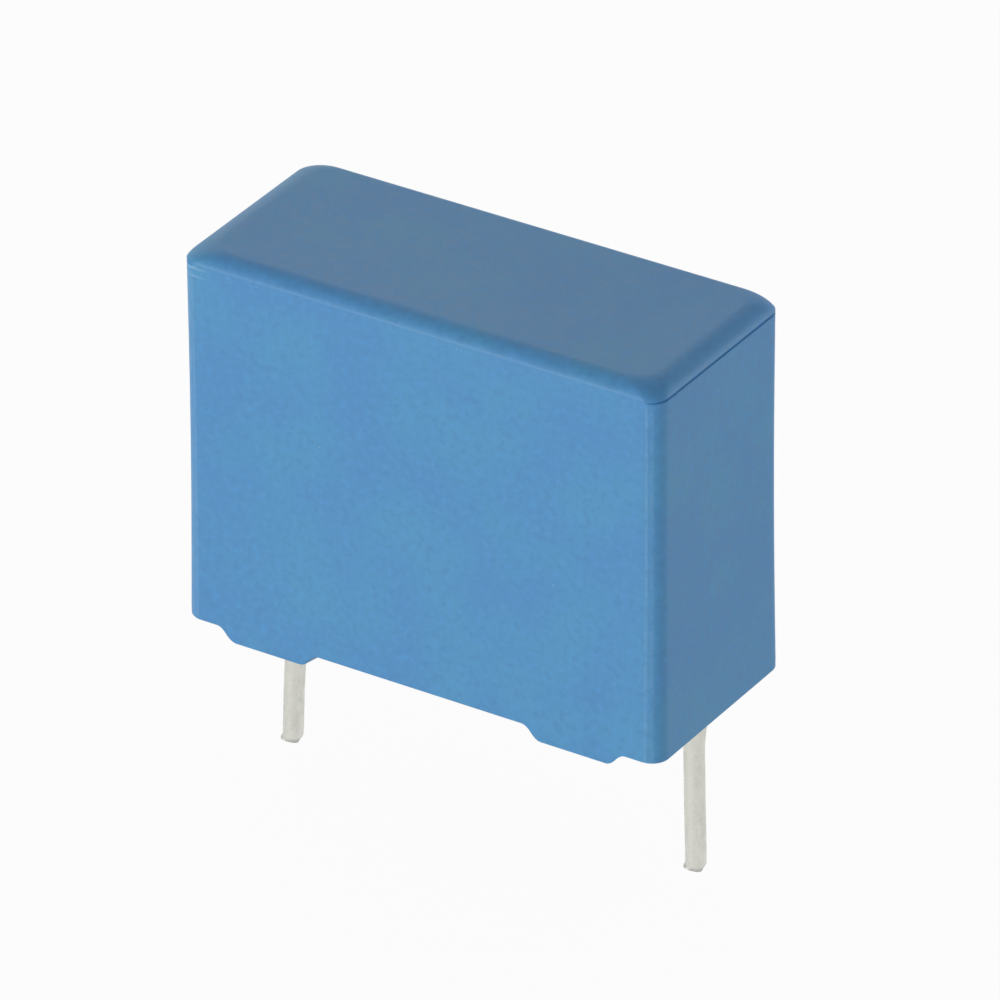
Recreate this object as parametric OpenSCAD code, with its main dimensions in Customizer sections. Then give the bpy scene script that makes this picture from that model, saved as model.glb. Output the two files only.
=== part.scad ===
// Box film capacitor for through-hole boards, 22.5 mm lead pitch.
// A flat-pressed film roll with sprayed end contacts hangs from two welded
// wires in a moulded case, and resin poured in at the open side seals it.
//
// Frame: +Z up, the board's top face is z = 0 and carries the case's feet.
// The origin lies midway between the two leads, which run down through z = 0.

/* [Case] */
// Length of the case along the lead row
case_length = 26.5; // [26:0.1:28]
// Thickness of the case
case_depth = 11.2; // [10.5:0.1:14]
// Height from the feet to the closed top
case_height = 20.6; // [18:0.1:24]
// Wall thickness of the case
wall = 0.85; // [0.7:0.05:0.95]
// Thickness of the closed top
roof = 1.0; // [0.8:0.05:1.4]
// Radius of the four upright outer edges
edge_radius = 1.0; // [1.0:0.05:1.4]
// Radius of the round that runs along the top edges
crown_radius = 0.95; // [0.8:0.05:0.95]
// Depth of the mould's parting line below the top
parting_depth = 0.65; // [0.5:0.05:0.9]
// How far the wall stands out past the crown at the parting line
parting_ledge = 0.05; // [0.02:0.01:0.08]
// How far the middle of the leads lies to the right of the middle of the case
lead_shift_x = 0.3; // [0:0.05:0.35]
// How far the row of leads lies behind the middle of the case
lead_shift_y = 0.75; // [0:0.05:0.8]

/* [Feet] */
// Height of the feet, the gap between the board and the case's rim
foot_height = 0.7; // [0.4:0.05:1.2]
// Distance of a foot's middle from the middle of the long wall
foot_centre = 8.56; // [7.5:0.02:9.2]
// Length of a foot where it leaves the rim
foot_root = 5.24; // [4:0.02:5.6]
// Length of a foot's bottom face
foot_tread = 4.08; // [3:0.02:4.2]

/* [Leads] */
// Distance between the two leads
lead_pitch = 22.5; // [22.3:0.1:22.6]
// Diameter of the lead wire
lead_diameter = 1.0; // [0.9:0.05:1.0]
// Length of the leads below the feet
lead_length = 9.0; // [4:0.1:25]
// Thickness of the flattened end that is welded to the roll
tab_thickness = 0.6; // [0.5:0.05:0.6]
// Width of the flattened end
tab_width = 1.4; // [1.2:0.1:1.6]
// Height of the flattened end's tip above the feet
tab_top = 13.0; // [8:0.5:15]
// Slant of the sheared tip of a lead
shear_angle = 10; // [0:1:15]

/* [Film roll] */
// Thickness of the flat-pressed roll
roll_depth = 8.6; // [7.5:0.1:8.8]
// Height of the roll's lowest turn above the case's rim
roll_lift = 1.6; // [1.2:0.1:2.4]
// Thickness of each sprayed metal end contact
contact_thickness = 0.5; // [0.3:0.05:0.6]

/* [Resin] */
// Depth of the resin's face inside the rim
resin_recess = 0.35; // [0.25:0.05:0.6]
// Width of the resin's creep up the walls and the wires
resin_creep = 0.3; // [0.2:0.05:0.35]

/* [Hidden] */
$fn = 64;
eps = 0.01;

rim_z = foot_height;
parting_z = case_height - parting_depth;
ceiling_z = case_height - roof;
case_x = -lead_shift_x;
case_y = -lead_shift_y;

// The cavity and the two centring ribs on its ceiling
cavity_length = case_length - 2 * wall;
cavity_depth = case_depth - 2 * wall;
cavity_radius = edge_radius - wall / 2;
cavity_crown = 0.8 * cavity_radius;
rib_width = 0.9;
rib_drop = 0.5;
rib_spacing = 13;

// The roll hangs between its end contacts, centred on the leads along X
// and on the cavity along Y, and its top turn seats on the ribs
lead_x = lead_pitch / 2;
lead_radius = lead_diameter / 2;
contact_x = lead_x - tab_thickness / 2;
roll_length = 2 * (contact_x - contact_thickness);
roll_bottom = rim_z + roll_lift;
roll_height = ceiling_z - rib_drop - roll_bottom;
contact_inset = 0.15;

resin_z = rim_z + resin_recess;
creep_top = 0.05;

// Rectangle centred on X with its two upper corners rounded
module crowned_section(width, height, radius) {
    translate([-width / 2, 0]) square([width, height - radius]);
    translate([-width / 2 + radius, 0]) square([width - 2 * radius, height]);
    for (side = [-1, 1])
        translate([side * (width / 2 - radius), height - radius]) circle(radius);
}

// Half of a crowned section, for turning about its left edge
module crowned_half(half_width, height, radius) {
    intersection() {
        crowned_section(2 * half_width, height, radius);
        square([half_width, height]);
    }
}

// Upright block with rounded corners in plan and a round along its top edges
module crowned_block(length, depth, height, corner, crown) {
    rotate([90, 0, 90])
        linear_extrude(length - 2 * corner, center = true)
            crowned_section(depth, height, crown);
    rotate([90, 0, 0])
        linear_extrude(depth - 2 * corner, center = true)
            crowned_section(length, height, crown);
    for (x = [-1, 1], y = [-1, 1])
        translate([x * (length / 2 - corner), y * (depth / 2 - corner), 0])
            rotate_extrude() crowned_half(corner, height, crown);
}

// Upright block with rounded corners in plan and square top edges
module upright_block(length, depth, height, corner) {
    translate([-length / 2 + corner, -depth / 2, 0])
        cube([length - 2 * corner, depth, height]);
    translate([-length / 2, -depth / 2 + corner, 0])
        cube([length, depth - 2 * corner, height]);
    for (x = [-1, 1], y = [-1, 1])
        translate([x * (length / 2 - corner), y * (depth / 2 - corner), 0])
            cylinder(height, r = corner);
}

// One tapered foot, flush with both faces of the long wall that it ends
module foot() {
    rotate([90, 0, 0])
        linear_extrude(wall)
            polygon([[-foot_root / 2, foot_height + eps], [-foot_tread / 2, 0],
                     [foot_tread / 2, 0], [foot_root / 2, foot_height + eps]]);
}

module feet() {
    for (side = [-1, 1]) {
        translate([side * foot_centre, -case_depth / 2 + wall, 0]) foot();
        translate([side * foot_centre, case_depth / 2, 0]) foot();
    }
}

// The ribs that hold the roll off the ceiling, so that resin flows round it
module ceiling_ribs() {
    for (side = [-1, 1])
        translate([side * rib_spacing / 2 - rib_width / 2, -cavity_depth / 2,
                   ceiling_z - rib_drop])
            cube([rib_width, cavity_depth, rib_drop]);
}

// The space inside the case, open at the rim
module cavity() {
    difference() {
        translate([0, 0, rim_z])
            crowned_block(cavity_length, cavity_depth, ceiling_z - rim_z,
                          cavity_radius, cavity_crown);
        ceiling_ribs();
    }
}

// Moulded case: walls up to the parting line, crown above it, four feet below
module case() {
    color("steelblue")
        translate([case_x, case_y, 0]) {
            difference() {
                union() {
                    translate([0, 0, rim_z])
                        upright_block(case_length, case_depth,
                                      parting_z - rim_z, edge_radius);
                    translate([0, 0, rim_z])
                        crowned_block(case_length - 2 * parting_ledge,
                                      case_depth - 2 * parting_ledge,
                                      case_height - rim_z,
                                      edge_radius, crown_radius);
                }
                cavity();
            }
            feet();
        }
}

// Outline of the flat-pressed roll on its end face, shrunk by an inset
module roll_outline(inset) {
    radius = roll_depth / 2 - inset;
    translate([case_y, roll_bottom + roll_depth / 2]) circle(radius);
    translate([case_y, roll_bottom + roll_height - roll_depth / 2]) circle(radius);
    translate([case_y - radius, roll_bottom + roll_depth / 2])
        square([2 * radius, roll_height - roll_depth]);
}

// Wound film, flat-pressed to an oval
module film_winding() {
    color("silver")
        rotate([90, 0, 90])
            linear_extrude(roll_length, center = true) roll_outline(0);
}

// Sprayed metal layer on one end of the roll
module end_contact(side) {
    color("darkgray")
        translate([side * (contact_x - contact_thickness / 2), 0, 0])
            rotate([90, 0, 90])
                linear_extrude(contact_thickness, center = true)
                    roll_outline(contact_inset);
}

// Flattened end of the wire, rounded at its edges and its tip
module weld_tab() {
    intersection() {
        union() {
            translate([0, 0, rim_z]) cylinder(tab_top - tab_width / 2 - rim_z, r = tab_width / 2);
            translate([0, 0, tab_top - tab_width / 2]) sphere(tab_width / 2);
        }
        translate([-tab_thickness / 2, -tab_width, rim_z])
            cube([tab_thickness, 2 * tab_width, tab_top]);
    }
}

// Tinned wire: round and straight from its sheared tip up to the resin
module lead(side) {
    color("gainsboro")
        translate([side * lead_x, 0, 0]) {
            difference() {
                translate([0, 0, -lead_length]) cylinder(lead_length + rim_z, r = lead_radius);
                translate([0, 0, -lead_length])
                    rotate([0, side * shear_angle, 0])
                        translate([-lead_diameter, -lead_diameter, -2 * lead_diameter])
                            cube(2 * lead_diameter);
            }
            weld_tab();
        }
}

// Underside of the resin: a shallow dish that creeps up the walls and the wires
module resin_dish() {
    difference() {
        translate([case_x, case_y, rim_z - eps])
            crowned_block(cavity_length - 2 * creep_top, cavity_depth - 2 * creep_top,
                          resin_recess + eps, cavity_radius - creep_top, resin_creep);
        for (side = [-1, 1])
            translate([side * lead_x, 0, rim_z])
                cylinder(resin_recess, r1 = lead_radius + creep_top,
                         r2 = lead_radius + resin_creep);
    }
}

// Cast resin that fills the case round the roll, the contacts and the wires
module potting_resin() {
    color("slategray")
        difference() {
            translate([case_x, case_y, 0]) cavity();
            resin_dish();
            film_winding();
            for (side = [-1, 1]) {
                end_contact(side);
                lead(side);
            }
        }
}

case();
potting_resin();
film_winding();
end_contact(-1);  // end_contact_left
end_contact(1);  // end_contact_right
lead(-1);  // lead_left
lead(1);  // lead_right
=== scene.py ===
"""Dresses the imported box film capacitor.

The moulded case is a section swept round its outline, the leads are swept wires with
sheared tips, and specks of moulding flash follow the parting line. The resin, the film
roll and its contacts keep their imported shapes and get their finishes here.
"""

import math

import bmesh
import bpy
from mathutils import Matrix, Vector


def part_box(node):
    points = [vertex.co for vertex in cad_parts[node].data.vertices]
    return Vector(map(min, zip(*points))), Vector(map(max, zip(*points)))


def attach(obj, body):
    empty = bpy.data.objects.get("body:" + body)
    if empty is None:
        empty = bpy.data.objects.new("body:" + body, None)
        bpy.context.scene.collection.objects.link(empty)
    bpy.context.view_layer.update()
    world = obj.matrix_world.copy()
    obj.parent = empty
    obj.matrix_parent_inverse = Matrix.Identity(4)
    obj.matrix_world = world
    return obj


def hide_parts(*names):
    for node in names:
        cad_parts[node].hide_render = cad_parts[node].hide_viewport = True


bl_info = {
    "name": "Box film capacitor",
    "version": (1, 0, 0),
    "blender": (4, 5, 0),
    "location": "3D View > Sidebar > Capacitor",
    "description": "Moulded case, tinned leads, resin and film roll of a box film capacitor",
    "category": "Object",
}

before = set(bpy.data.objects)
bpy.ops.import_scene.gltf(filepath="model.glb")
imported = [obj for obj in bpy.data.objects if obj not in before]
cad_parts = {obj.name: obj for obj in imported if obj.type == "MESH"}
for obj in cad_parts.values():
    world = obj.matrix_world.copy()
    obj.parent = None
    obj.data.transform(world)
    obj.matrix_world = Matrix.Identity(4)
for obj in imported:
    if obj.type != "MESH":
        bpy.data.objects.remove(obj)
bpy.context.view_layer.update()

MM = 0.001
BODY = "root"

CASE_LOW, CASE_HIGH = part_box("case")
CASE_MIDDLE = (CASE_LOW + CASE_HIGH) / 2
CASE_SIZE = CASE_HIGH - CASE_LOW
LEAD_LOW = {side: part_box(f"lead_{side}")[0] for side in ("left", "right")}
LEAD_HIGH = {side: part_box(f"lead_{side}")[1] for side in ("left", "right")}
LEAD_MIDDLE = {side: (LEAD_LOW[side] + LEAD_HIGH[side]) / 2 for side in ("left", "right")}
ROLL_LOW, ROLL_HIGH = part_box("film_winding")


# ---------------------------------------------------------------- node trees

class Value:
    """An output socket that takes part in Python arithmetic by adding Math nodes."""

    def __init__(self, graph, socket):
        self.graph = graph
        self.socket = socket

    def __add__(self, other):
        return self.graph.math("ADD", self, other)

    def __radd__(self, other):
        return self.graph.math("ADD", other, self)

    def __sub__(self, other):
        return self.graph.math("SUBTRACT", self, other)

    def __rsub__(self, other):
        return self.graph.math("SUBTRACT", other, self)

    def __mul__(self, other):
        return self.graph.math("MULTIPLY", self, other)

    def __rmul__(self, other):
        return self.graph.math("MULTIPLY", other, self)

    def __truediv__(self, other):
        return self.graph.math("DIVIDE", self, other)

    def __pow__(self, other):
        return self.graph.math("POWER", self, other)

    def __neg__(self):
        return self.graph.math("MULTIPLY", self, -1.0)

    def __abs__(self):
        return self.graph.math("ABSOLUTE", self)


class Graph:
    """Adds nodes to a shader or geometry tree."""

    def __init__(self, tree):
        self.tree = tree

    def node(self, kind, settings=None, inputs=None, out=0):
        """Adds a node, makes its settings, fills or links its sockets, and gives one output."""
        node = self.tree.nodes.new(kind)
        for name, value in (settings or {}).items():
            setattr(node, name, value)
        for key, value in (inputs or {}).items():
            if isinstance(value, Value):
                self.tree.links.new(value.socket, node.inputs[key])
            else:
                node.inputs[key].default_value = value
        return Value(self, node.outputs[out]) if node.outputs else node

    def output(self, value, name):
        """Another output of the node that a value comes from."""
        return Value(self, value.socket.node.outputs[name])

    def math(self, operation, *values):
        return self.node("ShaderNodeMath", {"operation": operation}, dict(enumerate(values)))

    def vector(self, operation, *values):
        return self.node("ShaderNodeVectorMath", {"operation": operation},
                         dict(enumerate(values)))

    def scaled(self, vector, scale):
        return self.node("ShaderNodeVectorMath", {"operation": "SCALE"},
                         {0: vector, "Scale": scale})

    def split(self, vector):
        """The three parts of a vector."""
        first = self.node("ShaderNodeSeparateXYZ", None, {0: vector})
        return first, self.output(first, "Y"), self.output(first, "Z")

    def join(self, x, y, z):
        return self.node("ShaderNodeCombineXYZ", None, {"X": x, "Y": y, "Z": z})

    def ramp(self, value, low, high, start=0.0, end=1.0, smooth=True):
        """value, read from low to high, as a number from start to end."""
        return self.node("ShaderNodeMapRange",
                         {"interpolation_type": "SMOOTHSTEP" if smooth else "LINEAR"},
                         {"Value": value, "From Min": low, "From Max": high,
                          "To Min": start, "To Max": end})

    def mix(self, factor, first, second):
        """A blend of two colours."""
        return self.node("ShaderNodeMix", {"data_type": "RGBA"},
                         {0: factor, 6: first, 7: second}, 2)

    def noise(self, vector, scale, detail=2.0, roughness=0.5):
        return self.node("ShaderNodeTexNoise", None,
                         {"Vector": vector, "Scale": scale, "Detail": detail,
                          "Roughness": roughness})


def shader_graph(name):
    """A new material with a Principled shader, and the graph to feed it."""
    material = bpy.data.materials.new(name)
    material.use_nodes = True
    graph = Graph(material.node_tree)
    return material, graph, material.node_tree.nodes["Principled BSDF"]


def finish_shader(graph, shader, fixed, varying):
    """Sets what is the same all over the surface, and links what varies over it."""
    for name, value in fixed.items():
        shader.inputs[name].default_value = value
    for name, value in varying.items():
        graph.tree.links.new(value.socket, shader.inputs[name])


def millimetres(graph):
    """The surface's place in the part's frame, in millimetres."""
    place = graph.node("ShaderNodeTexCoord", out="Object")
    return graph.scaled(place, 1 / MM)


def bump(graph, height, distance, normal=None):
    """A bump whose height is a number from 0 to 1 and whose distance is in metres."""
    inputs = {"Height": height, "Distance": distance, "Strength": 1.0}
    if normal is not None:
        inputs["Normal"] = normal
    return graph.node("ShaderNodeBump", None, inputs)


def color(settings_color):
    return (*settings_color, 1.0)


# ------------------------------------------------------------------ settings

class CaseSettings(bpy.types.PropertyGroup):
    """Sizes and colour of the moulded case."""

    edge_radius: bpy.props.FloatProperty(
        name="Edge radius", description="Radius of the upright edges",
        default=0.9 * MM, unit="LENGTH")
    crown_end: bpy.props.FloatProperty(
        name="Crown on ends", description="How far the top round runs in on the ends",
        default=1.15 * MM, unit="LENGTH")
    crown_depth: bpy.props.FloatProperty(
        name="Crown depth", description="Depth of the parting line below the top",
        default=0.58 * MM, unit="LENGTH")
    crown_front: bpy.props.FloatProperty(
        name="Crown on front", description="How far the top round runs in on the front",
        default=0.95 * MM, unit="LENGTH")
    crown_back: bpy.props.FloatProperty(
        name="Crown on back", description="How far the top round runs in on the back",
        default=0.5 * MM, unit="LENGTH")
    crown_corner: bpy.props.FloatProperty(
        name="Crown corner", description="Radius of the top's corners, seen from above",
        default=1.3 * MM, unit="LENGTH")
    groove: bpy.props.FloatProperty(
        name="Parting groove", description="Depth and width of the groove at the parting line",
        default=0.12 * MM, unit="LENGTH")
    wall: bpy.props.FloatProperty(
        name="Wall", description="Thickness of the walls",
        default=0.85 * MM, unit="LENGTH")
    roof: bpy.props.FloatProperty(
        name="Roof", description="Thickness of the closed top",
        default=1.0 * MM, unit="LENGTH")
    draft: bpy.props.FloatProperty(
        name="Draft", description="How much each wall leans in from the rim to the top",
        default=0.1 * MM, unit="LENGTH")
    bow: bpy.props.FloatProperty(
        name="Bow", description="How far the upright edges bow in at half height",
        default=0.05 * MM, unit="LENGTH")
    sink: bpy.props.FloatProperty(
        name="Sink", description="How far the middle of each face sinks in",
        default=0.04 * MM, unit="LENGTH")
    rim_radius: bpy.props.FloatProperty(
        name="Rim radius", description="Radius of the rim's outer edge",
        default=0.08 * MM, unit="LENGTH")
    foot_height: bpy.props.FloatProperty(
        name="Foot height", description="Height of the feet below the rim",
        default=0.7 * MM, unit="LENGTH")
    foot_centre: bpy.props.FloatProperty(
        name="Foot place",
        description="Distance from the middle of a long side to a foot's middle",
        default=8.56 * MM, unit="LENGTH")
    foot_root: bpy.props.FloatProperty(
        name="Foot root", description="Length of a foot at the rim",
        default=5.24 * MM, unit="LENGTH")
    foot_tread: bpy.props.FloatProperty(
        name="Foot tread", description="Length of a foot's bottom face",
        default=4.08 * MM, unit="LENGTH")
    spacing: bpy.props.FloatProperty(
        name="Mesh spacing", description="Distance between the mesh's columns",
        default=0.5 * MM, unit="LENGTH")
    tint: bpy.props.FloatVectorProperty(
        name="Plastic", description="Colour of the moulded plastic",
        default=(0.074, 0.274, 0.560), min=0, max=1, subtype="COLOR")


class FlashSettings(bpy.types.PropertyGroup):
    """Specks of moulding flash along the parting line."""

    spacing: bpy.props.FloatProperty(
        name="Spacing", description="Mean distance between specks",
        default=0.45 * MM, unit="LENGTH")
    size: bpy.props.FloatProperty(
        name="Size", description="Radius of the largest specks",
        default=0.045 * MM, unit="LENGTH")
    seed: bpy.props.IntProperty(
        name="Seed", description="Picks the specks' places and sizes", default=4)
    tint: bpy.props.FloatVectorProperty(
        name="Flash", description="Colour of the thin flash",
        default=(0.17, 0.40, 0.64), min=0, max=1, subtype="COLOR")


class LeadSettings(bpy.types.PropertyGroup):
    """Shape and colour of the tinned wires."""

    radius: bpy.props.FloatProperty(
        name="Radius", description="Radius of the wire", default=0.515 * MM, unit="LENGTH")
    tab_thickness: bpy.props.FloatProperty(
        name="Tab thickness", description="Thickness of the flattened end",
        default=0.6 * MM, unit="LENGTH")
    tab_width: bpy.props.FloatProperty(
        name="Tab width", description="Width of the flattened end",
        default=1.4 * MM, unit="LENGTH")
    lean: bpy.props.FloatVectorProperty(
        name="Lean",
        description="Outward lean of the left and the right lead, per unit of length",
        default=(0.046, 0.022), size=2, min=0, max=0.1)
    set_in: bpy.props.FloatVectorProperty(
        name="Set in", description="How far each lead bends inwards where it leaves the resin",
        default=(0.0, 0.3 * MM), size=2, unit="LENGTH")
    spare: bpy.props.FloatVectorProperty(
        name="Spare",
        description="How far each tip reaches past the drawn length, below 0 if it is short",
        default=(-0.18 * MM, -0.34 * MM), size=2, unit="LENGTH")
    tint: bpy.props.FloatVectorProperty(
        name="Tin", description="Colour of the tin plating",
        default=(0.655, 0.655, 0.605), min=0, max=1, subtype="COLOR")


class InsideSettings(bpy.types.PropertyGroup):
    """Colours of the resin, the film roll and its contacts."""

    resin: bpy.props.FloatVectorProperty(
        name="Resin", description="Colour of the potting resin",
        default=(0.075, 0.15, 0.25), min=0, max=1, subtype="COLOR")
    film: bpy.props.FloatVectorProperty(
        name="Film", description="Colour of the metallised film",
        default=(0.62, 0.64, 0.66), min=0, max=1, subtype="COLOR")
    spray: bpy.props.FloatVectorProperty(
        name="Sprayed metal", description="Colour of the end contacts",
        default=(0.45, 0.46, 0.48), min=0, max=1, subtype="COLOR")


class StageSettings(bpy.types.PropertyGroup):
    """Camera, floor and lights."""

    azimuth: bpy.props.FloatProperty(
        name="Azimuth", description="Camera's turn towards the right end, in degrees",
        default=32.473)
    elevation: bpy.props.FloatProperty(
        name="Elevation", description="Camera's height above the horizon, in degrees",
        default=30.112)
    roll: bpy.props.FloatProperty(
        name="Roll", description="Camera's tilt to one side, in degrees", default=-0.368)
    distance: bpy.props.FloatProperty(
        name="Distance", description="From the camera to the point it looks at",
        default=519.63 * MM, unit="LENGTH")
    aim: bpy.props.FloatVectorProperty(
        name="Aim", description="Point that the camera looks at",
        default=(0.995 * MM, -1.148 * MM, 8.917 * MM), subtype="XYZ", unit="LENGTH")
    lens: bpy.props.FloatProperty(
        name="Lens", description="Focal length in millimetres", default=398.11)
    key: bpy.props.FloatProperty(
        name="Key light", description="Radiance of the low light at the front left",
        default=10.2)
    fill: bpy.props.FloatProperty(
        name="Fill light", description="Radiance of the light at the back right", default=4.55)
    top: bpy.props.FloatProperty(
        name="Top light", description="Radiance of the light at the back left", default=1.12)
    sky: bpy.props.FloatProperty(
        name="Sky", description="Brightness of the surroundings", default=0.618)


SETTINGS = {
    "capacitor_case": CaseSettings,
    "capacitor_flash": FlashSettings,
    "capacitor_leads": LeadSettings,
    "capacitor_inside": InsideSettings,
    "capacitor_stage": StageSettings,
}


# ------------------------------------------------------------------- helpers

def geometry_graph(name, sizes):
    """A new Geometry Nodes tree with named inputs, its graph, and the inputs by name."""
    tree = bpy.data.node_groups.new(name, "GeometryNodeTree")
    tree.interface.new_socket("Geometry", in_out="INPUT", socket_type="NodeSocketGeometry")
    tree.interface.new_socket("Geometry", in_out="OUTPUT", socket_type="NodeSocketGeometry")
    for label, kind in sizes.items():
        tree.interface.new_socket(label, in_out="INPUT", socket_type=f"NodeSocket{kind}")
    graph = Graph(tree)
    start = graph.node("NodeGroupInput")
    return graph, {label: graph.output(start, label) for label in ("Geometry", *sizes)}


def end_tree(graph, geometry, material):
    """Ends a tree in plain geometry that carries its material."""
    plain = graph.node("GeometryNodeRealizeInstances", None, {0: geometry})
    painted = graph.node("GeometryNodeSetMaterial", None, {0: plain, "Material": material})
    graph.node("NodeGroupOutput", None, {"Geometry": painted})


def grow(name, start_mesh, tree, values):
    """Runs a tree on a mesh and keeps the result as a plain object at the origin."""
    piece = bpy.data.objects.new(name, start_mesh)
    bpy.context.collection.objects.link(piece)
    modifier = piece.modifiers.new(name, "NODES")
    modifier.node_group = tree
    for item in tree.interface.items_tree:
        if item.in_out == "INPUT" and item.name in values:
            modifier[item.identifier] = values[item.name]
    ready = piece.evaluated_get(bpy.context.evaluated_depsgraph_get())
    mesh = bpy.data.meshes.new_from_object(ready)
    piece.modifiers.remove(modifier)
    piece.data = mesh
    mesh.name = name
    mesh.shade_smooth()
    return piece


def face_outwards(piece, sharp_angle):
    """Merges doubles, turns every face outwards and marks the sharp edges."""
    cage = bmesh.new()
    cage.from_mesh(piece.data)
    bmesh.ops.remove_doubles(cage, verts=cage.verts, dist=1e-7)
    bmesh.ops.recalc_face_normals(cage, faces=cage.faces)
    cage.to_mesh(piece.data)
    cage.free()
    piece.data.shade_smooth()
    piece.data.set_sharp_from_angle(angle=math.radians(sharp_angle))


def settle(piece, slot, *nodes):
    """Puts a piece on the part's body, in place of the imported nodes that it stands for."""
    if nodes:
        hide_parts(*nodes)
    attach(piece, BODY)


def paint_node(node, material):
    """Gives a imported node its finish."""
    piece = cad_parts[node]
    piece.data.materials.clear()
    piece.data.materials.append(material)


# ------------------------------------------------------------------ finishes

def case_plastic(settings):
    """Blue matt plastic: fine grain, faint mottling, and painted highlights as pale lines on
    the upright edges.
    """
    material, graph, shader = shader_graph("case_plastic")
    place = millimetres(graph)
    base = color(settings.tint)
    lighter = color([min(1.0, part * 1.16) for part in settings.tint])
    greener = (settings.tint[0] * 1.05, settings.tint[1] * 1.10, settings.tint[2] * 0.98, 1.0)
    darker = color([part * 0.90 for part in settings.tint])

    clouds = graph.noise(place, 0.22, 3.0, 0.55)
    mottle = graph.noise(place, 2.4, 4.0, 0.65)
    grain = graph.noise(place, 14.0, 3.0, 0.7)
    tint = graph.mix(graph.ramp(clouds, 0.35, 0.68), base, greener)
    tint = graph.mix(graph.ramp(mottle, 0.34, 0.50, 0.6, 0.0), tint, darker)
    tint = graph.mix(graph.ramp(mottle, 0.50, 0.66, 0.0, 0.5), tint, lighter)
    # painted highlights on the upright edges, and a short pale streak at the front's left
    # corner
    tint = graph.mix(edge_highlights_and_streak(graph, place, settings), tint, color((0.30, 0.50, 0.72)))
    tint = graph.mix(dust(graph, place), tint, color((0.42, 0.58, 0.74)))

    fine = bump(graph, grain, 0.006 * MM)
    surface = bump(graph, mottle, 0.010 * MM, fine)
    rough = graph.ramp(mottle, 0.3, 0.7, 0.46, 0.56)
    finish_shader(graph, shader, {"IOR": 1.5},
                  {"Base Color": tint, "Roughness": rough, "Normal": surface})
    return material


def edge_highlights_and_streak(graph, place, settings):
    """Two pale broken lines of painted highlight that run down each upright edge, and a short
    pale streak, from 0 to 1.
    """
    x, y, z = graph.split(place)
    radius = settings.edge_radius / MM
    across = abs(x - CASE_MIDDLE.x / MM) - (CASE_SIZE.x / 2 / MM - radius)
    along = abs(y - CASE_MIDDLE.y / MM) - (CASE_SIZE.y / 2 / MM - radius)
    turn = graph.math("ARCTAN2", across, along) * (180 / math.pi)
    ragged = graph.noise(graph.join(x * 1.5, y * 1.5, z * 0.8), 2.0, 4.0, 0.7)
    # painted highlights: pale lines where the round of each upright edge has turned 10 and 29
    # degrees from the long side
    first = graph.ramp(abs(turn - 10.0), 2.0, 9.0, 1.0, 0.0)
    second = graph.ramp(abs(turn - 29.0), 3.0, 12.0, 0.8, 0.0)
    lines = graph.math("MAXIMUM", first, second)
    outside = graph.ramp(across, -0.25, 0.05) * graph.ramp(along, -0.25, 0.05)
    parting = (CASE_HIGH.z - settings.crown_depth) / MM
    outside = outside * graph.ramp(z, parting - 0.5, parting - 0.1, 1.0, 0.0)
    upright = lines * outside * graph.ramp(ragged, 0.35, 0.62, 0.06, 0.20)

    # a short pale line under the parting line, at the front's left corner
    left = (CASE_MIDDLE.x - CASE_SIZE.x / 2) / MM
    below = graph.math("PINGPONG", parting - z + (ragged - 0.5) * 0.25, 0.22)
    corner = (graph.ramp(below, 0.13, 0.22) * graph.ramp(x, left + 0.7, left + 1.9, 0.7, 0.0)
              * graph.ramp(parting - z, 0.0, 0.08)
              * graph.ramp(parting - z, 0.6, 0.75, 1.0, 0.0)
              * graph.ramp(y, CASE_MIDDLE.y / MM - 3.0, CASE_MIDDLE.y / MM, 1.0, 0.0))
    return graph.math("MAXIMUM", upright, corner)


def dust(graph, place):
    """Sparse pale specks, from 0 to 1."""
    cells = graph.node("ShaderNodeTexVoronoi", None, {"Vector": place, "Scale": 0.55})
    pick = graph.node("ShaderNodeSeparateColor", None, {0: graph.output(cells, "Color")})
    chosen = graph.ramp(pick, 0.80, 0.82)
    return graph.ramp(cells, 0.035, 0.055, 0.5, 0.0) * chosen


def flash_plastic(settings):
    """Thin pale flash of the case's plastic."""
    material, graph, shader = shader_graph("flash_plastic")
    place = millimetres(graph)
    base = color(settings.tint)
    pale = color([min(1.0, part + 0.12) for part in settings.tint])
    tint = graph.mix(graph.noise(place, 3.0), base, pale)
    finish_shader(graph, shader, {"Roughness": 0.5}, {"Base Color": tint})
    return material


def tinned_wire(settings, place_in_pair, side):
    """Satin tin: drawn lines, cloudy matt patches, pits, and a dull sheared tip."""
    material, graph, shader = shader_graph(f"tinned_wire_{side}")
    place = millimetres(graph)
    x, y, z = graph.split(place)
    drawn = graph.noise(graph.join(x * 9.0, y * 9.0, z * 0.5), 1.6, 4.0, 0.7)
    patches = graph.noise(graph.join(x * 2.0, y * 2.0, z * 0.9), 1.1, 4.0, 0.65)
    pits = graph.noise(place, 9.0, 3.0, 0.7)
    bright = color(settings.tint)
    dull = color([part * 0.90 for part in settings.tint])
    dark = color([part * 0.55 for part in settings.tint])
    tint = graph.mix(graph.ramp(patches, 0.38, 0.66), bright, dull)
    tint = graph.mix(graph.ramp(pits, 0.60, 0.72, 0.0, 0.7), tint, dark)
    tip = (LEAD_LOW[side].z - settings.spare[place_in_pair]) / MM
    torn = graph.ramp(z + (drawn - 0.5) * 0.3, tip + 0.05, tip + 0.30, 0.75, 0.0)
    tint = graph.mix(torn, tint, dark)
    lines = bump(graph, drawn, 0.010 * MM)
    surface = bump(graph, pits, 0.008 * MM, lines)
    rough = graph.ramp(patches, 0.3, 0.7, 0.24, 0.46)
    finish_shader(graph, shader, {"Metallic": 1.0},
                  {"Base Color": tint, "Roughness": rough, "Normal": surface})
    return material


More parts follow.
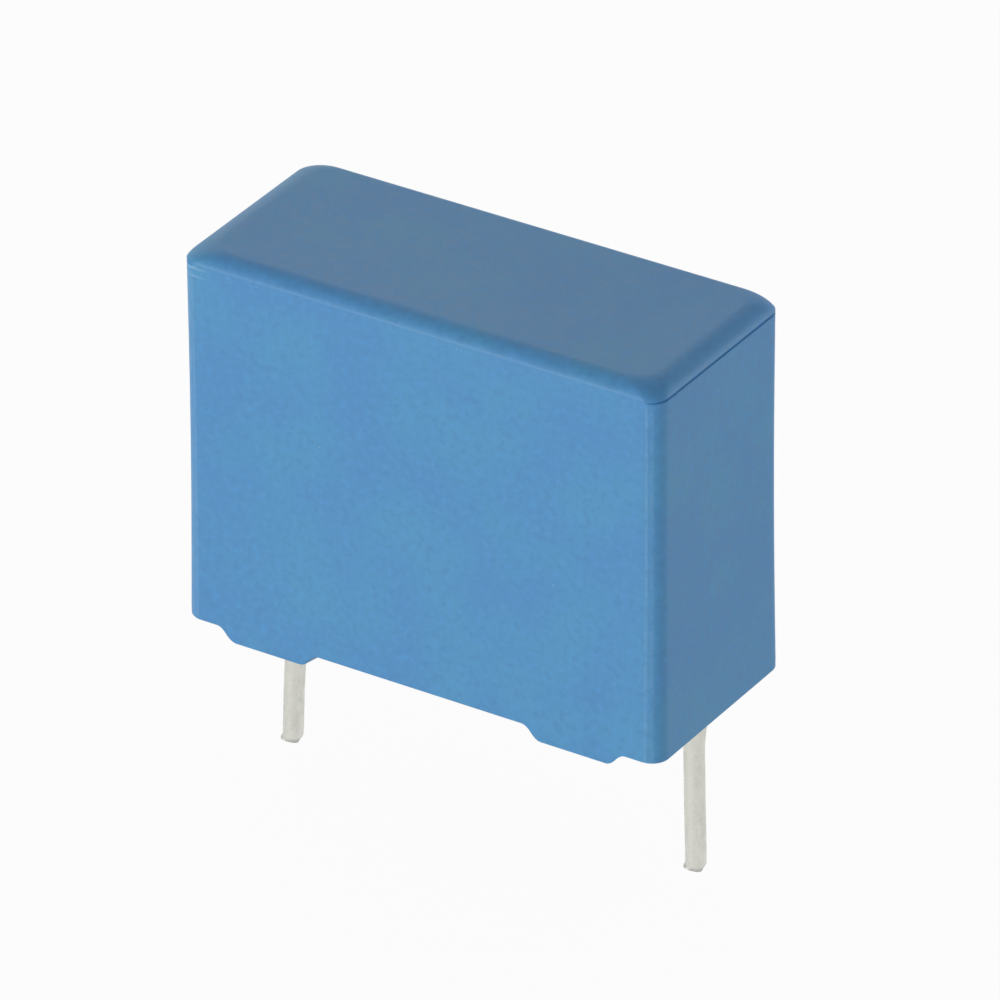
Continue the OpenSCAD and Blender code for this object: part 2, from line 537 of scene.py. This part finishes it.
def cast_resin(settings):
    """Smooth cast epoxy with faint flow marks and a few closed bubbles."""
    material, graph, shader = shader_graph("cast_resin")
    place = millimetres(graph)
    flow = graph.noise(place, 0.5, 3.0, 0.6)
    fine = graph.noise(place, 6.0, 2.0, 0.5)
    base = color(settings.resin)
    pale = color([part * 1.35 for part in settings.resin])
    tint = graph.mix(graph.ramp(flow, 0.3, 0.75), base, pale)
    bubbles = graph.node("ShaderNodeTexVoronoi", None, {"Vector": place, "Scale": 0.7})
    dimples = graph.ramp(bubbles, 0.06, 0.16)
    surface = bump(graph, dimples, 0.02 * MM, bump(graph, flow, 0.12 * MM))
    rough = graph.ramp(fine, 0.3, 0.7, 0.24, 0.36)
    finish_shader(graph, shader, {"IOR": 1.55},
                  {"Base Color": tint, "Roughness": rough, "Normal": surface})
    return material


def wound_film(settings):
    """Turns of metallised film: fine rings that follow the roll's outline."""
    material, graph, shader = shader_graph("wound_film")
    place = millimetres(graph)
    x, y, z = graph.split(place)
    half = (ROLL_HIGH.y - ROLL_LOW.y) / 2 / MM
    middle_y = (ROLL_HIGH.y + ROLL_LOW.y) / 2 / MM
    low, high = ROLL_LOW.z / MM + half, ROLL_HIGH.z / MM - half
    core_z = graph.math("MINIMUM", graph.math("MAXIMUM", z, low), high)
    away = graph.math("SQRT", (y - middle_y) ** 2.0 + (z - core_z) ** 2.0)
    wobble = graph.noise(graph.join(x * 0.1, y * 0.3, z * 0.3), 1.0)
    turns = graph.math("SINE", (away + wobble * 0.15) * 55.0)
    base = color(settings.film)
    shade = color([part * 0.72 for part in settings.film])
    tint = graph.mix(graph.ramp(turns, -1.0, 1.0), shade, base)
    rough = graph.ramp(turns, -1.0, 1.0, 0.30, 0.42)
    surface = bump(graph, turns, 0.008 * MM)
    finish_shader(graph, shader, {"Metallic": 0.85},
                  {"Base Color": tint, "Roughness": rough, "Normal": surface})
    return material


def sprayed_metal(settings):
    """Arc-sprayed metal: rough grey splats."""
    material, graph, shader = shader_graph("sprayed_metal")
    place = millimetres(graph)
    splats = graph.node("ShaderNodeTexVoronoi", {"feature": "SMOOTH_F1"},
                        {"Vector": place, "Scale": 5.0, "Smoothness": 0.6})
    grit = graph.noise(place, 11.0, 4.0, 0.75)
    base = color(settings.spray)
    dark = color([part * 0.6 for part in settings.spray])
    tint = graph.mix(graph.ramp(grit, 0.3, 0.65), dark, base)
    surface = bump(graph, splats + grit, 0.05 * MM)
    rough = graph.ramp(grit, 0.3, 0.7, 0.50, 0.72)
    finish_shader(graph, shader, {"Metallic": 0.9},
                  {"Base Color": tint, "Roughness": rough, "Normal": surface})
    return material


# ---------------------------------------------------------------- the case

CORNER_STEPS = 16
MARK_STEPS, MARK_STEP = 5, 0.06 * MM    # columns on each side of a foot's corner
FOOT_STEPS, FOOT_STEP = 6, 0.04 * MM    # samples that round a foot's corner
CROWN_STEPS, CROWN_END = 12, 16         # the crown stops this many degrees from upright
WALL_STEPS, WALL_CROWDING = 24, 1.3     # the wall's rows crowd towards the top
CASE_SHARP = 28                         # degrees between faces at a sharp edge
ROW_PARTS = ("height", "inset_x", "inset_front", "inset_back", "corner", "foot", "bow")
OUTLINE_PARTS = ("drop", "out", "reach")


def case_outline(settings):
    """The case's outline as a loop, anticlockwise from the front's left corner.

    Each point has its outward direction, its place along the straight sides from -1 to 1,
    and how far a foot drops there, from 0 to 1.
    """
    long_half = CASE_SIZE.x / 2 - settings.edge_radius
    short_half = CASE_SIZE.y / 2 - settings.edge_radius
    foot_ends = [side * settings.foot_centre + end * length / 2
                 for side in (-1, 1) for end in (-1, 1)
                 for length in (settings.foot_root, settings.foot_tread)]
    long_side = stations(long_half, settings.spacing, foot_ends)
    short_side = stations(short_half, settings.spacing, [])
    points = []
    for turn, stops in enumerate((long_side, short_side, long_side, short_side)):
        turn_angle = math.radians(90 * turn - 90)
        out = Vector((round(math.cos(turn_angle)), round(math.sin(turn_angle))))
        along = Vector((-out.y, out.x))
        for stop in stops:
            drop = foot_drop(settings, stop * long_half) if turn in (0, 2) else 0.0
            points.append((out, out + along * stop, drop))
        for step in range(1, CORNER_STEPS):
            angle = turn_angle + math.pi / 2 * step / CORNER_STEPS
            points.append((Vector((math.cos(angle), math.sin(angle))), out + along, 0.0))
    return points


def stations(half, spacing, marks):
    """Places along a side from -1 to 1, closer together round each mark."""
    count = 2 * round(half / spacing)
    places = {round(step / count * 2 - 1, 5) for step in range(count + 1)}
    for mark in marks:
        places |= {round((mark + step * MARK_STEP) / half, 5)
                   for step in range(-MARK_STEPS, MARK_STEPS + 1)}
    return sorted(places)


def foot_drop(settings, x):
    """How far a foot drops at x, with its corners rounded."""
    def sharp(place):
        slope = (settings.foot_root - settings.foot_tread) / 2
        inside = settings.foot_root / 2 - abs(abs(place) - settings.foot_centre)
        return min(max(inside / slope, 0.0), 1.0)
    samples = [sharp(x + step * FOOT_STEP) for step in range(-FOOT_STEPS, FOOT_STEPS + 1)]
    return sum(samples) / len(samples)


def arc(start, end, steps):
    """Even steps of a turn, in radians."""
    return [math.radians(start + (end - start) * step / steps) for step in range(steps + 1)]


def case_section(settings):
    """The wall's section as rows, from the middle of the top down the outside to the rim,
    and up the inside to the middle of the ceiling.

    Each row has its height, its insets from the ends, the front and the back, the radius
    of its corners, its weight on the feet, and how far its sides bow in.
    """
    top = CASE_HIGH.z
    rim = CASE_LOW.z + settings.foot_height
    parting = top - settings.crown_depth
    half_depth = CASE_SIZE.y / 2
    draft, radius = settings.draft, settings.edge_radius
    rows = []

    def row(height, inset, corner, foot=0.0, bow=0.0):
        rows.append((height, *(inset if isinstance(inset, tuple) else (inset,) * 3),
                     corner, foot, bow))

    crown = (settings.crown_end, settings.crown_front, settings.crown_back)
    for cap in (1.0, 0.85, 0.65, 0.45, 0.28, 0.15, 0.06, 0.015):
        row(top - settings.sink * math.sin(cap * math.pi / 2),
            tuple((draft + inset) * (1 - cap) + half_depth * cap for inset in crown),
            settings.crown_corner * (1 - cap))
    last = math.radians(CROWN_END)
    for turn in arc(90, CROWN_END, CROWN_STEPS):
        share = (math.sin(turn) - math.sin(last)) / (1 - math.sin(last))
        row(parting + settings.crown_depth * share,
            tuple(draft + inset * (1 - math.cos(turn) / math.cos(last)) for inset in crown),
            radius + (settings.crown_corner - radius) * share)

    groove = settings.groove
    for lower, share in ((0.15, 0.0), (0.5, 1.0), (0.9, 1.0), (1.3, 0.0)):
        row(parting - lower * groove,
            (draft + groove * share, draft, draft), radius)
    wall_top, wall_foot = parting - 1.6 * groove, rim + 0.5 * MM
    for step in range(WALL_STEPS + 1):
        down = (step / WALL_STEPS) ** WALL_CROWDING
        row(wall_top + (wall_foot - wall_top) * down,
            draft * (1 - down) + settings.bow * math.sin(math.pi * down), radius,
            bow=settings.sink * math.sin(math.pi * down))
    soft = settings.rim_radius
    row(rim + 2 * soft, 0.0, radius, 0.85)
    for turn in arc(0, 90, 4):
        row(rim + soft * (1 - math.sin(turn)), soft * (1 - math.cos(turn)), radius, 1.0)
    inner = max(radius - settings.wall / 2, settings.wall / 2)
    row(rim, settings.wall - soft / 2, inner, 1.0)
    row(rim + soft / 2, settings.wall, inner, 1.0)
    ceiling, round_in = top - settings.roof, inner * 0.8
    for height in (rim + 2 * soft, rim + 0.6 * MM, (rim + ceiling) / 2, ceiling - round_in):
        row(height, settings.wall, inner)
    for turn in arc(0, 90, 4)[1:]:
        row(ceiling - round_in * (1 - math.sin(turn)),
            settings.wall + round_in * (1 - math.cos(turn)), inner)
    row(ceiling, half_depth, 0.0)
    return rows


def case_lines(settings):
    """The outline and the section as two chains of points that carry what they measure."""
    outline, rows = case_outline(settings), case_section(settings)
    mesh = bpy.data.meshes.new("case_lines")
    # the tree places every point anew, so here they only have to stand apart
    loop = [(*(place * 10 * MM + out * MM), 0.0) for out, place, _ in outline]
    chain = [(0.0, 0.0, place * MM) for place in range(len(rows))]
    count = len(loop)
    edges = [(place, (place + 1) % count) for place in range(count)]
    edges += [(count + place, count + place + 1) for place in range(len(rows) - 1)]
    mesh.from_pydata(loop + chain, edges, [])

    def keep(name, kind, on_outline, on_rows):
        values = on_outline + on_rows
        layer = mesh.attributes.new(name, kind, "POINT").data
        if kind == "FLOAT":
            layer.foreach_set("value", values)
        else:
            layer.foreach_set("vector", [part for value in values for part in value])

    keep("is_row", "FLOAT", [0.0] * count, [1.0] * len(rows))
    keep("drop", "FLOAT", [drop for _, _, drop in outline], [0.0] * len(rows))
    keep("out", "FLOAT_VECTOR", [(*out, 0.0) for out, _, _ in outline],
         [(0.0, 0.0, 0.0)] * len(rows))
    keep("reach", "FLOAT_VECTOR", [(*place, 0.0) for _, place, _ in outline],
         [(0.0, 0.0, 0.0)] * len(rows))
    for name, values in zip(ROW_PARTS, zip(*rows)):
        keep(name, "FLOAT", [0.0] * count, list(values))
    return mesh


def case_tree():
    """Sweeps the section round the outline and sets each point by its row and column."""
    graph, size = geometry_graph("case_sweep", {
        "Middle": "Vector", "Length": "Float", "Depth": "Float", "Foot Height": "Float",
        "Material": "Material"})
    section = graph.node("GeometryNodeSeparateGeometry", None, {
        "Geometry": size["Geometry"], "Selection": recall(graph, "is_row", "FLOAT")})
    outline = forget(graph, graph.output(section, "Inverted"), ROW_PARTS)
    section = forget(graph, section, OUTLINE_PARTS)
    shell = graph.node("GeometryNodeCurveToMesh", None, {
        "Curve": graph.node("GeometryNodeMeshToCurve", None, {0: outline}),
        "Profile Curve": graph.node("GeometryNodeMeshToCurve", None, {0: section})})

    row = {part: recall(graph, part, "FLOAT") for part in ROW_PARTS}
    out_x, out_y, _ = graph.split(recall(graph, "out", "FLOAT_VECTOR"))
    reach_x, reach_y, _ = graph.split(recall(graph, "reach", "FLOAT_VECTOR"))
    x = (reach_x * (size["Length"] / 2 - row["inset_x"] - row["corner"])
         + out_x * (row["corner"] - row["bow"] * (1 - reach_y * reach_y)))
    shift = (row["inset_front"] - row["inset_back"]) / 2
    y = (reach_y * (size["Depth"] / 2 - row["inset_back"] - shift - row["corner"])
         + out_y * (row["corner"] - row["bow"] * (1 - reach_x * reach_x)) + shift)
    z = row["height"] - row["foot"] * recall(graph, "drop", "FLOAT") * size["Foot Height"]
    middle_x, middle_y, _ = graph.split(size["Middle"])
    place = graph.join(x + middle_x, y + middle_y, z)
    shell = graph.node("GeometryNodeSetPosition", None, {"Geometry": shell, "Position": place})
    end_tree(graph, forget(graph, shell, ("is_row", *ROW_PARTS, *OUTLINE_PARTS)),
             size["Material"])
    return graph.tree


def forget(graph, geometry, names):
    """Takes away what the geometry carries under these names."""
    for name in names:
        geometry = graph.node("GeometryNodeRemoveAttribute", None,
                              {"Geometry": geometry, "Name": name})
    return geometry


def recall(graph, name, kind):
    """A value that the geometry carries under a name."""
    return graph.node("GeometryNodeInputNamedAttribute", {"data_type": kind}, {"Name": name})


class CAPACITOR_OT_case(bpy.types.Operator):
    """Make the moulded case and its finish"""

    bl_idname = "capacitor.case"
    bl_label = "Moulded case"

    def execute(self, context):
        settings = context.scene.capacitor_case
        material = case_plastic(settings)
        piece = grow("moulded_case", case_lines(settings), case_tree(), {
            "Middle": CASE_MIDDLE, "Length": CASE_SIZE.x, "Depth": CASE_SIZE.y,
            "Foot Height": settings.foot_height, "Material": material})
        face_outwards(piece, CASE_SHARP)
        settle(piece, "case_plastic", "case")
        return {"FINISHED"}


# ------------------------------------------------------------ parting flash

FLASH_DROP = 1.7      # below the parting line, in depths of the groove
LINE_STEPS = 12       # points round each corner of the line


def flash_tree():
    """Specks of flash set at random along the parting line."""
    graph, size = geometry_graph("parting_flash", {
        "Middle": "Vector", "Length": "Float", "Depth": "Float", "Radius": "Float",
        "Height": "Float", "Spacing": "Float", "Size": "Float", "Seed": "Int",
        "Material": "Material"})
    line = graph.node("GeometryNodeCurvePrimitiveQuadrilateral", None,
                      {"Width": size["Length"], "Height": size["Depth"]})
    line = graph.node("GeometryNodeFilletCurve", {"mode": "POLY"},
                      {"Curve": line, "Count": LINE_STEPS, "Radius": size["Radius"]})
    points = graph.node("GeometryNodeCurveToPoints", {"mode": "LENGTH"},
                        {"Curve": line, "Length": size["Spacing"]})
    reach = size["Spacing"]
    low = graph.join(-reach, -0.01 * MM, -0.06 * MM)
    high = graph.join(reach, 0.01 * MM, 0.03 * MM)
    rotation = graph.output(points, "Rotation")
    jitter = graph.node("FunctionNodeRandomValue", {"data_type": "FLOAT_VECTOR"},
                        {"Min": low, "Max": high, "Seed": size["Seed"]})
    tangent = graph.output(points, "Tangent")
    along, _, lift = graph.split(jitter)
    offset = graph.vector("ADD", graph.scaled(tangent, along), graph.join(0.0, 0.0, lift))
    up = graph.vector("ADD", size["Middle"], graph.join(0.0, 0.0, size["Height"]))
    points = graph.node("GeometryNodeSetPosition", None,
                        {"Geometry": points, "Offset": graph.vector("ADD", offset, up)})
    speck = graph.node("GeometryNodeMeshIcoSphere", None, {"Radius": size["Size"],
                                                            "Subdivisions": 2})
    stretch = graph.node("FunctionNodeRandomValue", {"data_type": "FLOAT_VECTOR"},
                         {"Min": (0.25, 0.25, 0.2), "Max": (1.0, 0.6, 1.6),
                          "Seed": size["Seed"] + 1})
    _, on_end, _ = graph.split(tangent)
    chosen = graph.node("FunctionNodeRandomValue", {"data_type": "BOOLEAN"},
                        {"Probability": abs(on_end) * 0.7 + 0.14, "Seed": size["Seed"] + 2},
                        3)
    specks = graph.node("GeometryNodeInstanceOnPoints", None,
                        {"Points": points, "Selection": chosen, "Instance": speck,
                         "Rotation": rotation, "Scale": stretch})
    end_tree(graph, specks, size["Material"])
    return graph.tree


class CAPACITOR_OT_flash(bpy.types.Operator):
    """Make the specks of flash along the parting line"""

    bl_idname = "capacitor.flash"
    bl_label = "Parting flash"

    def execute(self, context):
        settings = context.scene.capacitor_flash
        case = context.scene.capacitor_case
        material = flash_plastic(settings)
        piece = grow("parting_flash", bpy.data.meshes.new("flash_start"), flash_tree(), {
            "Middle": Vector((CASE_MIDDLE.x, CASE_MIDDLE.y, 0.0)),
            "Length": CASE_SIZE.x - 2 * case.draft, "Depth": CASE_SIZE.y - 2 * case.draft,
            "Radius": case.edge_radius,
            "Height": CASE_HIGH.z - case.crown_depth - FLASH_DROP * case.groove,
            "Spacing": settings.spacing, "Size": settings.size, "Seed": settings.seed,
            "Material": material})
        settle(piece, "case_plastic")
        return {"FINISHED"}


# ------------------------------------------------------------------- leads

WIRE_SIDES, WIRE_RINGS, TIP_RINGS = 48, 260, 10
LEAD_SHARP = 50              # degrees between faces at a sharp edge
SEED_STEP = 10.0             # sets the two leads' dents apart
TIP_RIGHT = (0.843, 0.537)   # across a lead, from its burr to its rolled edge


def lead_tree():
    """A wire along Z: flattened at its top, splayed below the case, sheared at its tip."""
    graph, size = geometry_graph("tinned_lead", {
        "Place": "Vector", "Low": "Float", "High": "Float", "Flat From": "Float",
        "Radius": "Float", "Thickness": "Float", "Width": "Float", "Lean": "Float",
        "Set In": "Float", "Seed": "Float", "Material": "Material"})
    length = size["High"] - size["Low"]
    wire = graph.node("GeometryNodeMeshCylinder", {"fill_type": "TRIANGLE_FAN"},
                      {"Vertices": WIRE_SIDES, "Side Segments": WIRE_RINGS,
                       "Fill Segments": TIP_RINGS, "Radius": size["Radius"],
                       "Depth": length})
    x, y, z = graph.split(graph.node("GeometryNodeInputPosition"))
    z = z + (size["Low"] + size["High"]) / 2
    radius = size["Radius"]

    # the weld tab: thinner across the contact and wider along it, with a rounded end
    flat = graph.ramp(z, size["Flat From"], size["Flat From"] + 0.6 * MM)
    thin = 1 + (size["Thickness"] / 2 / radius - 1) * flat
    wide = 1 + (size["Width"] / 2 / radius - 1) * flat
    near_end = graph.ramp(z, size["High"] - size["Width"] / 2, size["High"], 0.0, 1.0, False)
    narrow = graph.math("SQRT", graph.math("MAXIMUM", 1 - near_end * near_end, 0.02))

    # small dents and a slow wander that a handled wire has
    wander = graph.noise(graph.join(size["Seed"], 0.0, z / MM * 0.22), 1.0, 1.0)
    wander_y = graph.noise(graph.join(0.0, size["Seed"], z / MM * 0.22), 1.0, 1.0)
    free = graph.ramp(z, size["Flat From"], size["Flat From"] - 2 * MM)
    bend = graph.ramp(z, size["Flat From"], size["Flat From"] - 3 * MM)
    lean = (graph.math("MAXIMUM", size["Flat From"] - z, 0.0) * size["Lean"]
            - size["Set In"] * bend)
    dents = graph.noise(graph.join(x / MM, y / MM, z / MM + size["Seed"]), 1.6, 3.0, 0.6)
    swell = 1 + (dents - 0.5) * 0.05 * free

    # the sheared tip: a slant, a burr on the left and a rolled edge on the right
    side = (x * TIP_RIGHT[0] + y * TIP_RIGHT[1]) / radius
    rise = tip_rise(graph, side) * radius
    tip = graph.ramp(z, size["Low"] + 1.2 * radius, size["Low"], 0.0, 1.0, False)
    last = graph.ramp(z, size["Low"] + 0.35 * radius, size["Low"])
    flare = last * graph.ramp(side, -0.5, -1.0) * 0.16
    roll_in = last * graph.ramp(side, 0.3, 1.0) * 0.22
    rough = (graph.noise(graph.join(x / MM, y / MM, 0.0), 5.0, 3.0, 0.7) - 0.5) * 0.10 * MM
    spread = swell * (1 + flare - roll_in)

    new_x = x * thin * spread + lean + (wander - 0.5) * 0.06 * MM * free
    new_y = y * wide * narrow * spread + (wander_y - 0.5) * 0.06 * MM * free
    place_x, place_y, _ = graph.split(size["Place"])
    place = graph.join(new_x + place_x, new_y + place_y, z + (rise + rough) * tip)
    wire = graph.node("GeometryNodeSetPosition", None, {"Geometry": wire, "Position": place})
    end_tree(graph, wire, size["Material"])
    return graph.tree


def tip_rise(graph, side):
    """Height of the sheared face over its lowest point, in radii, from burr to rolled edge."""
    slant = (0.45 - side) * graph.ramp(side, 0.55, 0.35) * 0.10
    corner = graph.ramp(side, 0.35, 1.0, 0.0, 1.0, False)
    return slant + (1 - graph.math("SQRT", 1 - corner * corner * 0.98)) * 0.55


class CAPACITOR_OT_leads(bpy.types.Operator):
    """Make both tinned leads"""

    bl_idname = "capacitor.leads"
    bl_label = "Tinned leads"

    def execute(self, context):
        settings = context.scene.capacitor_leads
        rim = CASE_LOW.z + context.scene.capacitor_case.foot_height
        tree = lead_tree()
        for place, side in enumerate(("left", "right")):
            outward = math.copysign(1.0, LEAD_MIDDLE[side].x)
            material = tinned_wire(settings, place, side)
            piece = grow(f"tinned_lead_{side}", bpy.data.meshes.new(f"{side}_start"), tree, {
                "Place": LEAD_MIDDLE[side], "Low": LEAD_LOW[side].z - settings.spare[place],
                "High": LEAD_HIGH[side].z, "Flat From": rim, "Radius": settings.radius,
                "Thickness": settings.tab_thickness, "Width": settings.tab_width,
                "Lean": outward * settings.lean[place],
                "Set In": outward * settings.set_in[place],
                "Seed": SEED_STEP * (place + 1), "Material": material})
            face_outwards(piece, LEAD_SHARP)
            settle(piece, "tinned_wire", f"lead_{side}")
        return {"FINISHED"}


# -------------------------------------------------------- resin and the roll

class CAPACITOR_OT_inside(bpy.types.Operator):
    """Finish the resin, the film roll and its end contacts"""

    bl_idname = "capacitor.inside"
    bl_label = "Resin and film roll"

    def execute(self, context):
        settings = context.scene.capacitor_inside
        paint_node("potting_resin", cast_resin(settings))
        paint_node("film_winding", wound_film(settings))
        spray = sprayed_metal(settings)
        for side in ("left", "right"):
            paint_node(f"end_contact_{side}", spray)
        return {"FINISHED"}


# ------------------------------------------------------------------- stage

# each light's azimuth and elevation in degrees, distance, width and height in metres
LIGHTS = {
    "key": (-18.0, 3.0, 0.5, 0.34, 0.12),
    "fill": (142.0, 8.0, 0.5, 0.26, 0.12),
    "top": (228.0, 24.0, 0.4, 0.34, 0.16),
}
FLOOR_HALF = 1.0             # half of the floor's side, in metres
FLOOR_GAP = 0.2 * MM         # between the drawn tips and the floor
FLOOR_WHITE = 0.95           # how much of the floor that is seen is plain white
SENSOR_WIDTH = 36.0


def direction(azimuth, elevation):
    """Unit vector towards an azimuth and elevation in degrees; azimuth 0 is the front."""
    turn, lift = math.radians(azimuth), math.radians(elevation)
    return Vector((math.sin(turn) * math.cos(lift), -math.cos(turn) * math.cos(lift),
                   math.sin(lift)))


def add_camera(settings):
    data = bpy.data.cameras.new("camera")
    data.lens = settings.lens
    data.sensor_width = SENSOR_WIDTH
    data.clip_start = 0.05
    data.clip_end = 50.0
    camera = bpy.data.objects.new("camera", data)
    back = direction(settings.azimuth, settings.elevation)
    look = (-back).to_track_quat("-Z", "Y").to_matrix().to_4x4()
    roll = Matrix.Rotation(math.radians(settings.roll), 4, "Z")
    camera.matrix_world = (
        Matrix.Translation(Vector(settings.aim) + back * settings.distance) @ look @ roll)
    bpy.context.collection.objects.link(camera)
    bpy.context.scene.camera = camera


def add_light(name, azimuth, elevation, distance, width, height, radiance):
    """A rectangular light that faces the part. Its radiance doesn't change with its size."""
    data = bpy.data.lights.new(name, "AREA")
    data.shape = "RECTANGLE"
    data.size, data.size_y = width, height
    data.energy = radiance * math.pi * width * height
    lamp = bpy.data.objects.new(name, data)
    towards = direction(azimuth, elevation)
    middle = Vector((0.0, 0.0, CASE_MIDDLE.z))
    lamp.matrix_world = (Matrix.Translation(middle + towards * distance)
                         @ (-towards).to_track_quat("-Z", "Y").to_matrix().to_4x4())
    bpy.context.collection.objects.link(lamp)


def light_path(graph, *rays):
    """1 for any of these kinds of ray, and 0 for the others."""
    path = graph.node("ShaderNodeLightPath")
    total = graph.output(path, rays[0])
    for ray in rays[1:]:
        total = graph.math("MAXIMUM", total, graph.output(path, ray))
    return total


def add_floor():
    """A wide pale floor just under the leads' tips."""
    level = min(low.z for low in LEAD_LOW.values()) - FLOOR_GAP
    mesh = bpy.data.meshes.new("floor")
    mesh.from_pydata([(x * FLOOR_HALF, y * FLOOR_HALF, level) for x, y in
                      ((-1, -1), (1, -1), (1, 1), (-1, 1))], [], [(0, 1, 2, 3)])
    floor = bpy.data.objects.new("floor", mesh)
    bpy.context.collection.objects.link(floor)
    material = bpy.data.materials.new("floor")
    material.use_nodes = True
    tree = material.node_tree
    tree.nodes.clear()
    graph = Graph(tree)
    paper = graph.node("ShaderNodeBsdfDiffuse", None, {"Color": (0.86, 0.86, 0.86, 1.0)})
    white = graph.node("ShaderNodeEmission", None, {"Color": (1.0, 1.0, 1.0, 1.0)})
    shown = light_path(graph, "Is Camera Ray", "Is Glossy Ray", "Is Transmission Ray")
    blend = graph.node("ShaderNodeMixShader", None,
                       {0: shown * FLOOR_WHITE, 1: paper, 2: white})
    graph.node("ShaderNodeOutputMaterial", None, {"Surface": blend})
    mesh.materials.append(material)


def add_sky(settings):
    """Soft surroundings: white where they are seen, and dimmer overhead as a light."""
    world = bpy.data.worlds.new("surroundings")
    bpy.context.scene.world = world
    world.use_nodes = True
    tree = world.node_tree
    tree.nodes.clear()
    graph = Graph(tree)
    _, _, height = graph.split(graph.node("ShaderNodeTexCoord", out="Generated"))
    lit = graph.ramp(height, 0.1, 0.8, 1.0, 0.55) * settings.sky
    seen = light_path(graph, "Is Camera Ray", "Is Glossy Ray", "Is Transmission Ray")
    shown = graph.ramp(height, 0.35, 0.85, 1.0, 0.25)
    back = graph.node("ShaderNodeBackground", None, {
        "Color": (1.0, 1.0, 1.0, 1.0), "Strength": lit * (1 - seen) + shown * seen})
    graph.node("ShaderNodeOutputWorld", None, {"Surface": back})


class CAPACITOR_OT_stage(bpy.types.Operator):
    """Set the camera, the floor and the lights"""

    bl_idname = "capacitor.stage"
    bl_label = "Camera, floor and lights"

    def execute(self, context):
        settings = context.scene.capacitor_stage
        add_camera(settings)
        add_floor()
        add_sky(settings)
        for name, place_and_size in LIGHTS.items():
            add_light(name, *place_and_size, getattr(settings, name))
        context.scene.view_settings.view_transform = "Standard"
        return {"FINISHED"}


# ------------------------------------------------------------------ add-on

OPERATORS = (CAPACITOR_OT_case, CAPACITOR_OT_flash, CAPACITOR_OT_leads,
             CAPACITOR_OT_inside, CAPACITOR_OT_stage)


class CAPACITOR_PT_panel(bpy.types.Panel):
    """Lists the pieces and their settings"""

    bl_idname = "CAPACITOR_PT_panel"
    bl_label = "Box film capacitor"
    bl_space_type = "VIEW_3D"
    bl_region_type = "UI"
    bl_category = "Capacitor"

    def draw(self, context):
        for operator in OPERATORS:
            self.layout.operator(operator.bl_idname)
        for name, group in SETTINGS.items():
            box = self.layout.box()
            for setting in group.__annotations__:
                box.prop(getattr(context.scene, name), setting)


def register():
    for group in (*SETTINGS.values(), *OPERATORS, CAPACITOR_PT_panel):
        bpy.utils.register_class(group)
    for name, group in SETTINGS.items():
        setattr(bpy.types.Scene, name, bpy.props.PointerProperty(type=group))


def unregister():
    for name in SETTINGS:
        delattr(bpy.types.Scene, name)
    for group in (CAPACITOR_PT_panel, *reversed(OPERATORS), *SETTINGS.values()):
        bpy.utils.unregister_class(group)


def main():
    register()
    bpy.ops.capacitor.stage()
    bpy.ops.capacitor.case()
    bpy.ops.capacitor.flash()
    bpy.ops.capacitor.leads()
    bpy.ops.capacitor.inside()


if __name__ == "__main__":
    main()
